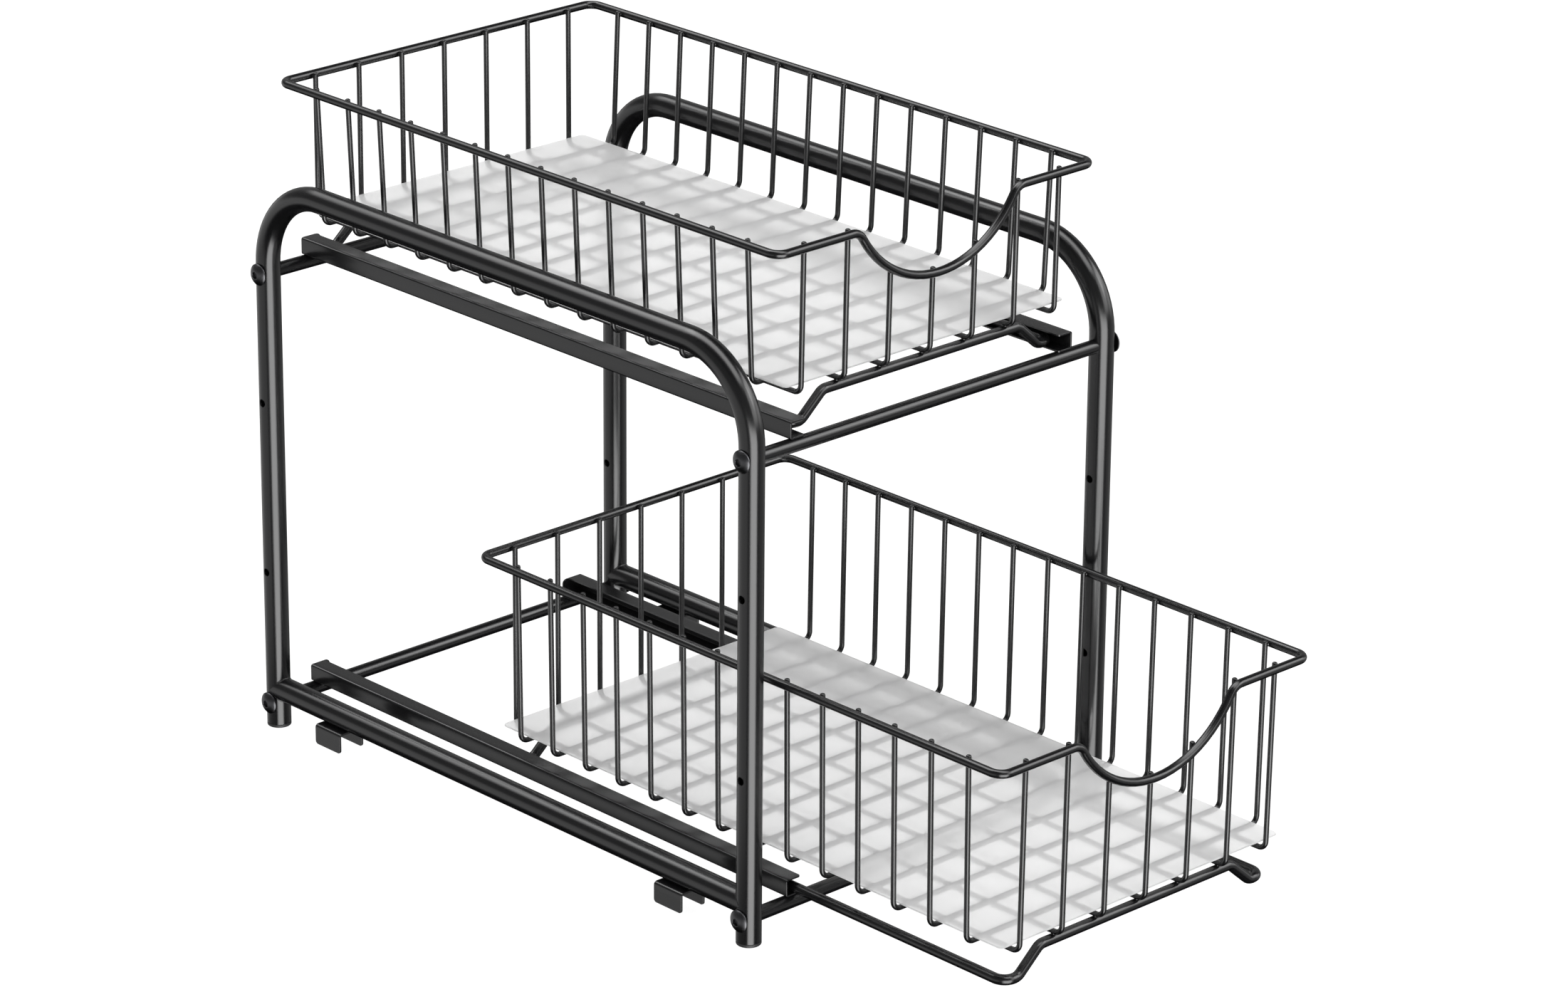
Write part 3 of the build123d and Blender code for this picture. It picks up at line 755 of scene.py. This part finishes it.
def runner_rod(at):
    """Closed loop whose low sides lie in the rails and whose ends rise under the basket."""
    sizes, low, high = bpy.context.scene.organizer_basket, at.runner_low, at.runner_high
    bend = sizes.runner_bend * math.tan(math.atan2(high - low, sizes.runner_slope) / 2)
    foot = at.runner_x - sizes.runner_corner - sizes.runner_flat - bend
    half = [(at.runner_x, low), (foot, low), (foot - sizes.runner_slope, high)]
    front = [(-x, -at.runner_y, z) for x, z in half] + [(x, -at.runner_y, z) for x, z in half[::-1]]
    corners = np.array(front + [(-x, -y, z) for x, y, z in front]) + (at.x, at.y, 0)
    radii = [sizes.runner_corner] + [sizes.runner_bend] * 4 + [sizes.runner_corner]
    return rod(corners, radii * 2, sizes.runner / 2, Z_AXIS, closed=True)


def wire_rod(corners, across):
    """U-shaped wire of a basket."""
    sizes = bpy.context.scene.organizer_basket
    bends = [sizes.wire_bend] * 2
    return rod(corners, bends, sizes.wire / 2, across, sizes.wire_end, sides=THIN_WIRE_SIDES)


def long_wire_rod(at, x):
    """Wire from the front of the rim, under the floor, to the back."""
    sizes, y = bpy.context.scene.organizer_basket, at.wire_y
    top = at.rim_z + sizes.wire_above
    corners = np.array(((x, -y, top - rim_drop(x)), (x, -y + sizes.front_lean, at.long_z),
                        (x, y, at.long_z), (x, y, top)))
    return wire_rod(corners + (at.x, at.y, 0), X_AXIS)


def cross_wire_rod(at, y):
    """Wire from the left side of the rim, under the floor, to the right side."""
    top = at.rim_z + bpy.context.scene.organizer_basket.wire_above
    corners = np.array(((-at.wire_x, y, top), (-at.floor_x, y, at.cross_z), (at.floor_x, y, at.cross_z),
                        (at.wire_x, y, top)))
    return wire_rod(corners + (at.x, 0, 0), Y_AXIS)


def liner_sheet(tier):
    """Flat sheet with rounded corners."""
    sizes, box = bpy.context.scene.organizer_basket, Box(f"{tier}_liner")
    width, depth, height = box.half

    def layer(z, inset):
        y, back = rounded_corners(inset - depth, depth - inset, *[sizes.liner_corner - inset] * 2,
                                  LINER_CORNER_STEPS)
        x = np.linspace(-1.0, 1.0, LINER_POINTS) * (width - inset - back)[:, None]
        return box.centre + xyz(x, y[:, None], z)

    return sheet(layer, height, -height, sizes.liner_edge)


def basket_nuggets(at):
    """Resistance welds where wires cross, where they meet the rim, and where they lie on the runner,
    each flattened along the direction in which it was pressed."""
    sizes, cross_y = bpy.context.scene.organizer_basket, at.cross_y - at.y
    both = np.array(((-1.0,), (1.0,)))
    side_x, end_y = ((wire + rim - sizes.rim / 2 + sizes.wire / 2) / 2
                     for wire, rim in ((at.wire_x, at.rim_x), (at.wire_y, at.rim_y)))
    drops = np.array([rim_drop(x) for x in at.long_x])
    on_runner = at.long_x[np.abs(at.long_x) < at.runner_x - 2 * sizes.runner_slope]
    rest_z = (at.runner_high + sizes.runner / 2 + at.long_z - sizes.wire / 2) / 2
    groups = ((xyz(at.long_x, cross_y[:, None], (at.long_z + at.cross_z) / 2), Z_AXIS),
              (xyz(both * side_x, cross_y, at.rim_z), X_AXIS),
              (xyz(at.long_x, -end_y, at.rim_z - drops), Y_AXIS),
              (xyz(at.long_x, end_y, at.rim_z), Y_AXIS),
              (xyz(on_runner, both * at.runner_y, rest_z), Z_AXIS))
    return [nuggets(centres.reshape(-1, 3) + (at.x, at.y, 0),
                    sizes.nugget * (1 - (1 - NUGGET_FLATNESS) * axis)) for centres, axis in groups]


# Stage

def floor_disc(radius):
    """Round floor: rings of faces that widen outwards round a fan."""
    radii = np.array((*FLOOR_RINGS, radius))
    disc = rings(np.zeros((len(radii), 3)), Z_AXIS, X_AXIS, radii, FLOOR_SIDES)
    points = np.concatenate((disc.reshape(-1, 3), np.zeros((1, 3))))
    column = np.arange(FLOOR_SIDES)
    fan = np.stack((np.full(FLOOR_SIDES, len(points) - 1), column, (column + 1) % FLOOR_SIDES), axis=-1)
    mesh = bpy.data.meshes.new("floor")
    mesh.from_pydata(points.tolist(), [], fan.tolist() + grid_faces(len(radii), FLOOR_SIDES).tolist())
    mesh.materials.append(backlit_floor_acrylic())
    return bpy.data.objects.new("floor", mesh)


def soft_studio(ambient, surroundings):
    """World whose soft light comes evenly from all round. Gloss mirrors soft boxes instead. Each is the
    product of its fades: smooth steps of a value from a start to an end, between two numbers."""
    world = bpy.data.worlds.new("soft_studio")
    world.use_nodes = True
    tree = world.node_tree
    tree.nodes.clear()
    way = add(tree, "ShaderNodeTexCoord").outputs["Generated"]
    flat = add(tree, "ShaderNodeVectorMath", {"operation": "MULTIPLY"}, i0=way, i1=(1.0, 1.0, 0.0))
    level = add(tree, "ShaderNodeVectorMath", {"operation": "NORMALIZE"}, i0=flat.outputs[0]).outputs[0]
    across, _, height = add(tree, "ShaderNodeSeparateXYZ", i0=way).outputs
    sideways = add(tree, "ShaderNodeMath", {"operation": "ABSOLUTE"}, i0=across).outputs[0]
    boxes = [((sideways, *OVERHEAD_ACROSS, OVERHEAD, 0.0), (height, *OVERHEAD_UP, 0.0, 1.0))]
    for strength, azimuth, half_width, lowest, highest in SOFT_BOXES:
        middle = math.radians(azimuth)
        facing = add(tree, "ShaderNodeVectorMath", {"operation": "DOT_PRODUCT"}, i0=level,
                     i1=(math.sin(middle), -math.cos(middle), 0.0)).outputs["Value"]
        outer, inner = (math.cos(math.radians(half_width + sign * FADE_SIDEWAYS)) for sign in (1, -1))
        bottom, low, high, top = (math.sin(math.radians(elevation)) for elevation in (
            lowest, lowest + FADE_UPWARDS, highest - FADE_UPWARDS, highest))
        boxes.append(((facing, outer, inner, 0.0, strength), (height, bottom, low, 0.0, 1.0),
                      (height, high, top, 1.0, 0.0)))
    total = 0.0
    for fades in boxes:
        light = 1.0
        for value, start, end, first, last in fades:
            fade = add(tree, "ShaderNodeMapRange", {"interpolation_type": "SMOOTHSTEP"}, Value=value,
                       From_Min=start, From_Max=end, To_Min=first, To_Max=last).outputs[0]
            light = add(tree, "ShaderNodeMath", {"operation": "MULTIPLY"}, i0=light, i1=fade).outputs[0]
        total = add(tree, "ShaderNodeMath", {"operation": "ADD"}, i0=total, i1=light).outputs[0]
    gloss = add(tree, "ShaderNodeBackground", Strength=total)
    soft = add(tree, "ShaderNodeBackground", Color=surroundings, Strength=ambient)
    path = add(tree, "ShaderNodeLightPath").outputs
    mirrored = add(tree, "ShaderNodeMath", {"operation": "SUBTRACT", "use_clamp": True},
                   i0=path["Is Glossy Ray"], i1=path["Is Transmission Ray"]).outputs[0]
    both = add(tree, "ShaderNodeMixShader", i0=mirrored, i1=soft.outputs[0], i2=gloss.outputs[0])
    add(tree, "ShaderNodeOutputWorld", Surface=both.outputs[0])
    return world


def photo_camera(studio):
    """Camera at the photograph's place and angle."""
    camera = bpy.data.objects.new("camera", bpy.data.cameras.new("camera"))
    camera.data.sensor_width = studio.sensor / MM
    camera.data.lens = studio.lens / MM
    camera.data.clip_end = 100.0
    azimuth, tilt = studio.azimuth, studio.elevation
    back = Vector((math.sin(azimuth) * math.cos(tilt), -math.cos(azimuth) * math.cos(tilt), math.sin(tilt)))
    right = Vector((math.cos(azimuth), math.sin(azimuth), 0.0))
    axes = Matrix((right, back.cross(right), back)).transposed().to_4x4()
    camera.matrix_world = Matrix.Translation(studio.place) @ axes @ Matrix.Rotation(studio.roll, 4, "Z")
    return camera


# Operators, one for each group of like pieces

class ORGANIZER_OT_side_frames(Operator):
    """Make the two bent hoops, with their spare holes, and the two base tubes"""
    bl_idname = "organizer.side_frames"
    bl_label = "Side frames"
    bl_options = {"REGISTER", "UNDO"}

    def execute(self, context):
        sizes = context.scene.organizer_frame
        for side, _ in SIDES:
            steel(f"{side}_hoop", hoop(side), [f"{side}_hoop_tube"])
            x, front_y, back_y, _, _ = leg_frame(side)
            centre = np.array((x, 0.0, Box(f"{side}_base_tube").centre[2]))
            tube = saddle_tube(Y_AXIS, centre, front_y, back_y, sizes.tube / 2, sizes.tube_wall)
            steel(f"{side}_base_rail_tube", [tube], [f"{side}_base_tube"])
            beads = [saddle_bead(centre, leg_y, sign) for leg_y, sign in ((front_y, -1), (back_y, 1))]
            steel(f"{side}_frame_weld_beads", beads, [], "frame")
        return {"FINISHED"}


class ORGANIZER_OT_crossbars(Operator):
    """Make the four crossbars between the side frames"""
    bl_idname = "organizer.crossbars"
    bl_label = "Crossbars"
    bl_options = {"REGISTER", "UNDO"}

    def execute(self, context):
        radius = context.scene.organizer_frame.crossbar / 2
        left_x, right_x = (leg_frame(side)[0] for side, _ in SIDES)
        for tier in TIERS:
            for end in ENDS:
                node = f"{tier}_{end}_crossbar"
                bar = saddle_tube(X_AXIS, Box(node).centre, left_x, right_x, radius)
                steel(f"{node}_round_bar", [bar], [node])
        return {"FINISHED"}


class ORGANIZER_OT_screws(Operator):
    """Make the eight button-head screws"""
    bl_idname = "organizer.screws"
    bl_label = "Screws"
    bl_options = {"REGISTER", "UNDO"}

    def execute(self, context):
        screws = []
        for side, sign in SIDES:
            x, front_y, back_y, _, _ = leg_frame(side)
            for tier in TIERS:
                for y in (front_y, back_y):
                    seat = np.array((x + sign * seat_radius(), y, crossbar_height(tier)))
                    screws.append(button_head_screw(seat, sign))
        piece("button_head_screws", screws, ["crossbar_screws"], blackened_screw_steel)
        return {"FINISHED"}


class ORGANIZER_OT_foot_caps(Operator):
    """Make the four plastic caps in the leg ends"""
    bl_idname = "organizer.foot_caps"
    bl_label = "Foot caps"
    bl_options = {"REGISTER", "UNDO"}

    def execute(self, context):
        sizes, t = context.scene.organizer_frame, quarter_turn(2 * ROUNDING_STEPS)
        radius, edge, flange, plug = sizes.tube / 2, sizes.edge, sizes.cap_flange, sizes.cap_plug / 2
        lower = zip(radius - sizes.cap_edge * (1 - np.sin(t)), sizes.cap_edge * (1 - np.cos(t)))
        # Radii and heights from the middle of the underside to the plug
        outline = [(radius / 2, 0.0), *lower, (radius, flange - edge),
                   (radius - edge / 3, flange - edge / 3), (radius - edge, flange), (plug, flange)]
        for end in ENDS:
            for side, _ in SIDES:
                node = f"{end}_{side}_foot_cap"
                box = Box(node)
                height = 2 * box.half[2]
                profile = np.array([*outline, (plug, height - 2 * edge), (plug - 2 * edge, height)])
                points = xyz(box.centre[0], box.centre[1], box.low[2] + profile[:, 1])
                cap = capped_grid(rings(points, Z_AXIS, X_AXIS, profile[:, 0], TUBE_SIDES))
                piece(f"{node}_moulding", [cap], [node], moulded_black_plastic)
        return {"FINISHED"}


class ORGANIZER_OT_rails(Operator):
    """Make the four C-shaped rails"""
    bl_idname = "organizer.rails"
    bl_label = "Rails"
    bl_options = {"REGISTER", "UNDO"}

    def execute(self, context):
        sizes = context.scene.organizer_frame
        for tier in TIERS:
            for side, sign in SIDES:
                node = f"{tier}_{side}_rail"
                box, thickness = Box(node), sizes.rail_sheet
                outer_x, height = box.low[0] if sign < 0 else box.high[0], 2 * box.half[2]
                origin = np.array((outer_x - sign * thickness / 2, 0.0, box.centre[2]))
                stop_width = sizes.rail_width - thickness / 2 + sizes.stop_past_flange
                back = box.high[1] - stop_width * math.sin(sizes.stop_lean)
                channel = folded_sheet(origin, -sign * X_AXIS, Z_AXIS, height, sizes.rail_width, thickness,
                                       sizes.rail_bend, (sizes.rail_corner, 2 * sizes.sheet_edge),
                                       box.low[1], back)
                along = np.array((-sign * math.cos(sizes.stop_lean), math.sin(sizes.stop_lean), 0.0))
                stop = stop_plate(origin + back * Y_AXIS, along, height - thickness, stop_width, thickness,
                                  sizes.stop_corner)
                steel(f"{node}_channel", [channel, stop], [node])
        return {"FINISHED"}


class ORGANIZER_OT_brackets(Operator):
    """Make the four folded brackets below the base tubes"""
    bl_idname = "organizer.brackets"
    bl_label = "Base brackets"
    bl_options = {"REGISTER", "UNDO"}

    def execute(self, context):
        sizes = context.scene.organizer_frame
        for end in ENDS:
            for side, _ in SIDES:
                node = f"{end}_{side}_base_bracket"
                box = Box(node)
                origin = np.array((box.centre[0], 0.0, box.high[2] - sizes.bracket_sheet / 2))
                fold = folded_sheet(origin, -Z_AXIS, X_AXIS, 2 * box.half[0], 2 * box.half[2],
                                    sizes.bracket_sheet, sizes.bracket_bend, [sizes.bracket_corner] * 2,
                                    box.low[1], box.high[1])
                steel(f"{node}_folding", [fold], [node])
        return {"FINISHED"}


class ORGANIZER_OT_runners(Operator):
    """Make the two runners that slide in the rails"""
    bl_idname = "organizer.runners"
    bl_label = "Runners"
    bl_options = {"REGISTER", "UNDO"}

    def execute(self, context):
        for tier in TIERS:
            steel(f"{tier}_runner_loop", [runner_rod(basket_places(tier))], [f"{tier}_runner"])
        return {"FINISHED"}


class ORGANIZER_OT_rims(Operator):
    """Make the two scooped rims"""
    bl_idname = "organizer.rims"
    bl_label = "Basket rims"
    bl_options = {"REGISTER", "UNDO"}

    def execute(self, context):
        for tier in TIERS:
            steel(f"{tier}_rim_loop", [rim_rod(basket_places(tier))], [f"{tier}_rim"])
        return {"FINISHED"}


class ORGANIZER_OT_basket_wires(Operator):
    """Make the U-shaped wires of both baskets and the welds between them"""
    bl_idname = "organizer.basket_wires"
    bl_label = "Basket wires"
    bl_options = {"REGISTER", "UNDO"}

    def execute(self, context):
        for tier in TIERS:
            at = basket_places(tier)
            wires = [long_wire_rod(at, x) for x in at.long_x]
            steel(f"{tier}_long_wire_set", wires, [f"{tier}_long_wires"])
            for index, y in enumerate(at.cross_y, 1):
                node = f"{tier}_cross_wire_{index:02d}"
                steel(f"{node}_rod", [cross_wire_rod(at, y)], [node])
            steel(f"{tier}_basket_welds", basket_nuggets(at), [], f"{tier}_drawer")
        return {"FINISHED"}


class ORGANIZER_OT_liners(Operator):
    """Make the frosted sheets on the floors of the baskets"""
    bl_idname = "organizer.liners"
    bl_label = "Liners"
    bl_options = {"REGISTER", "UNDO"}

    def execute(self, context):
        for tier in TIERS:
            piece(f"{tier}_liner_sheet", [liner_sheet(tier)], [f"{tier}_liner"], frosted_polypropylene)
        return {"FINISHED"}


class ORGANIZER_OT_stage(Operator):
    """Make the floor, the soft studio light and the camera"""
    bl_idname = "organizer.stage"
    bl_label = "Stage"
    bl_options = {"REGISTER", "UNDO"}

    def execute(self, context):
        scene, studio = context.scene, context.scene.organizer_studio
        floor, camera = floor_disc(studio.floor_radius), photo_camera(studio)
        for made in (floor, camera):
            scene.collection.objects.link(made)
        floor.visible_glossy = False
        scene.world = soft_studio(studio.ambient, scene.organizer_colours.surroundings)
        scene.camera = camera
        scene.view_settings.view_transform = "Standard"
        return {"FINISHED"}


class ORGANIZER_PT_sidebar(Panel):
    """Sizes, colours and the steps that make the organizer"""
    bl_idname = "ORGANIZER_PT_sidebar"
    bl_label = "Under sink organizer"
    bl_space_type = "VIEW_3D"
    bl_region_type = "UI"
    bl_category = "Organizer"

    def draw(self, context):
        for group in GROUPS:
            box = self.layout.box()
            box.label(text=group)
            values = getattr(context.scene, group)
            for name in GROUPS[group].__annotations__:
                box.prop(values, name)
        for operator in OPERATORS:
            self.layout.operator(operator.bl_idname)


GROUPS = {"organizer_frame": OrganizerFrameSizes, "organizer_basket": OrganizerBasketSizes,
          "organizer_colours": OrganizerColours, "organizer_studio": OrganizerStudio}
OPERATORS = (ORGANIZER_OT_side_frames, ORGANIZER_OT_crossbars, ORGANIZER_OT_screws, ORGANIZER_OT_foot_caps,
             ORGANIZER_OT_rails, ORGANIZER_OT_brackets, ORGANIZER_OT_runners, ORGANIZER_OT_rims,
             ORGANIZER_OT_basket_wires, ORGANIZER_OT_liners, ORGANIZER_OT_stage)


def register():
    for name, group in GROUPS.items():
        bpy.utils.register_class(group)
        setattr(bpy.types.Scene, name, PointerProperty(type=group))
    for operator in OPERATORS:
        bpy.utils.register_class(operator)
    bpy.utils.register_class(ORGANIZER_PT_sidebar)


def unregister():
    bpy.utils.unregister_class(ORGANIZER_PT_sidebar)
    for operator in reversed(OPERATORS):
        bpy.utils.unregister_class(operator)
    for name, group in GROUPS.items():
        delattr(bpy.types.Scene, name)
        bpy.utils.unregister_class(group)


def main():
    """Makes every piece and the stage, in metres."""
    register()
    for operator in OPERATORS:
        getattr(bpy.ops.organizer, operator.bl_idname.split(".")[1])()


if __name__ == "__main__":
    main()
